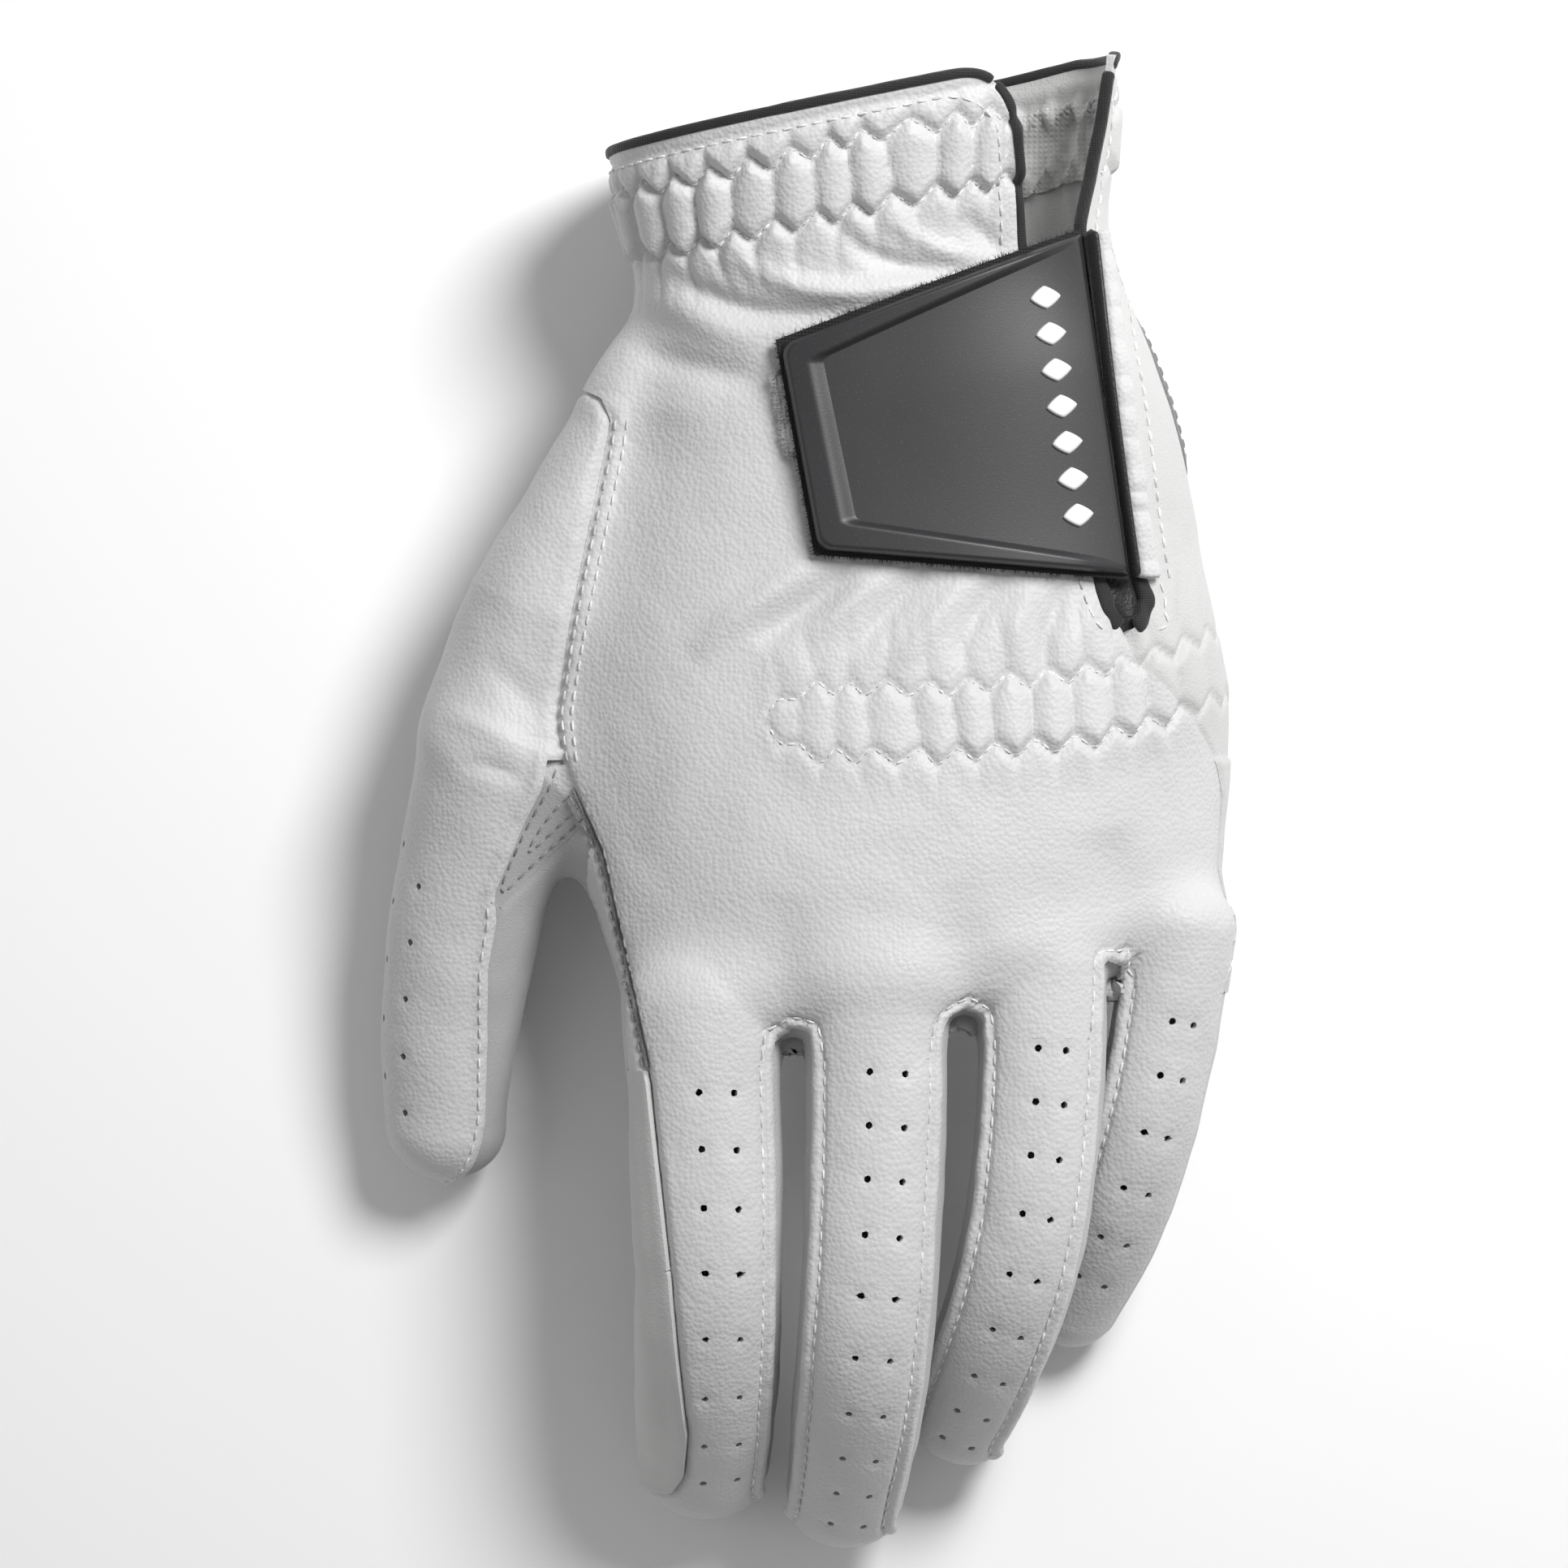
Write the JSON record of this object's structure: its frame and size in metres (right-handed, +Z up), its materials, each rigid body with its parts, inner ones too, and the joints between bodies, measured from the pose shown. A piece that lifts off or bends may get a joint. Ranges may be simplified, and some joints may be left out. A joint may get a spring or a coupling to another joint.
{
  "type": "golf glove",
  "caption": "Left-hand golf glove lying palm down, its fingers curled, with a fold-over closure tab on the wrist, gathered elastic and bending finger stalls.",
  "frame": {"origin": "on the surface that the glove rests on, under the middle of its outline", "axes": "+Z up out of the back of the hand, -Y towards the fingertips, +X towards the little finger"},
  "size_m": [0.128, 0.2267, 0.0509],
  "materials": {
    "back_leather": "white synthetic leather with a fine pebbled grain",
    "palm_leather": "soft smooth white leather",
    "accent_leather": "mid grey leather",
    "binding_fabric": "black woven binding tape",
    "elastic_fabric": "white knitted elastic",
    "hook_fabric": "black hook fabric",
    "loop_fabric": "pale brushed loop fabric",
    "thread": "white sewing thread",
    "tab_rubber": "dark grey satin moulded rubber",
    "pip_rubber": "white moulded rubber"
  },
  "bodies": {
    "hand": {"back_panel": "back_leather", "palm_panel": "palm_leather", "palm_heel_patch": "accent_leather", "knuckle_elastic": "elastic_fabric", "wrist_elastic_back": "elastic_fabric", "wrist_elastic_palm": "elastic_fabric", "cuff_binding_back": "binding_fabric", "cuff_binding_palm": "binding_fabric", "slit_binding_back": "binding_fabric", "slit_binding_palm": "binding_fabric", "slit_stay": "elastic_fabric", "anchor_fold": "back_leather", "loop_patch": "loop_fabric", "anchor_stitches": "thread", "cuff_stitches": "thread", "wrist_seam_stitches": "thread", "thumb_root_outer": "back_leather", "thumb_root_inner": "palm_leather", "thumb_gusset": "palm_leather"},
    "closure_tab": {"tab_shell": "tab_rubber", "tab_panel": "tab_rubber", "tab_pips": "pip_rubber", "tab_hook_patch": "hook_fabric", "tab_hinge_strip": "binding_fabric"},
    "index_base": {"index_back_base": "back_leather", "index_palm_base": "palm_leather", "index_side_base": "back_leather"},
    "index_tip": {"index_back_tip": "back_leather", "index_palm_tip": "palm_leather", "index_side_tip": "back_leather"},
    "middle_base": {"middle_back_base": "back_leather", "middle_palm_base": "palm_leather", "middle_sides_base": "back_leather"},
    "middle_tip": {"middle_back_tip": "back_leather", "middle_palm_tip": "palm_leather", "middle_sides_tip": "back_leather"},
    "ring_base": {"ring_back_base": "back_leather", "ring_palm_base": "palm_leather", "ring_sides_base": "back_leather"},
    "ring_tip": {"ring_back_tip": "back_leather", "ring_palm_tip": "palm_leather", "ring_sides_tip": "back_leather"},
    "little_base": {"little_back_base": "back_leather", "little_palm_base": "palm_leather", "little_side_base": "back_leather"},
    "little_tip": {"little_back_tip": "back_leather", "little_palm_tip": "palm_leather", "little_side_tip": "back_leather"},
    "thumb_base": {"thumb_outer_base": "back_leather", "thumb_inner_base": "palm_leather"},
    "thumb_tip": {"thumb_outer_tip": "back_leather", "thumb_inner_tip": "palm_leather"}
  },
  "joints": [
    {"name": "closure_tab_hinge", "type": "hinge", "parent": "hand", "child": "closure_tab", "pos_m": [0.0447, 0.0591, 0.04075], "axis": [-0.1446, 0.9889, -0.0328], "range_deg": [0, 150]},
    {"name": "index_knuckle", "type": "hinge", "parent": "hand", "child": "index_base", "pos_m": [-0.01627, -0.034, 0.0357], "axis": [0.9991, 0.0433, 0], "range_deg": [-12, 40]},
    {"name": "index_middle_joint", "type": "hinge", "parent": "index_base", "child": "index_tip", "pos_m": [-0.01528, -0.07661, 0.03263], "axis": [1, -0.0076, 0], "range_deg": [-12, 40]},
    {"name": "middle_knuckle", "type": "hinge", "parent": "hand", "child": "middle_base", "pos_m": [0.0098, -0.0315, 0.0383], "axis": [1, -0.0004, 0], "range_deg": [-12, 40]},
    {"name": "middle_middle_joint", "type": "hinge", "parent": "middle_base", "child": "middle_tip", "pos_m": [0.00818, -0.08011, 0.03532], "axis": [0.9965, -0.0833, 0], "range_deg": [-12, 40]},
    {"name": "ring_knuckle", "type": "hinge", "parent": "hand", "child": "ring_base", "pos_m": [0.03542, -0.0275, 0.034], "axis": [1, 0.0074, 0], "range_deg": [0, 40]},
    {"name": "ring_middle_joint", "type": "hinge", "parent": "ring_base", "child": "ring_tip", "pos_m": [0.03228, -0.07002, 0.03144], "axis": [0.9806, -0.1963, 0], "range_deg": [0, 40]},
    {"name": "little_knuckle", "type": "hinge", "parent": "hand", "child": "little_base", "pos_m": [0.05589, -0.02197, 0.02689], "axis": [0.9943, -0.1064, 0], "range_deg": [0, 40]},
    {"name": "little_middle_joint", "type": "hinge", "parent": "little_base", "child": "little_tip", "pos_m": [0.04956, -0.05572, 0.02114], "axis": [0.9544, -0.2986, 0], "range_deg": [0, 50]},
    {"name": "thumb_base_joint", "type": "hinge", "parent": "hand", "child": "thumb_base", "pos_m": [-0.04847, -0.00339, 0.01762], "axis": [0.6458, -0.3313, 0.6879], "range_deg": [-12, 30]},
    {"name": "thumb_tip_joint", "type": "hinge", "parent": "thumb_base", "child": "thumb_tip", "pos_m": [-0.05328, -0.02838, 0.01238], "axis": [0.6865, -0.21, 0.6961], "range_deg": [-6, 30]}
  ],
  "couplings": [
    {"joint": "little_knuckle", "follows": "ring_knuckle", "ratio": 1},
    {"joint": "little_middle_joint", "follows": "ring_middle_joint", "ratio": 1}
  ]
}
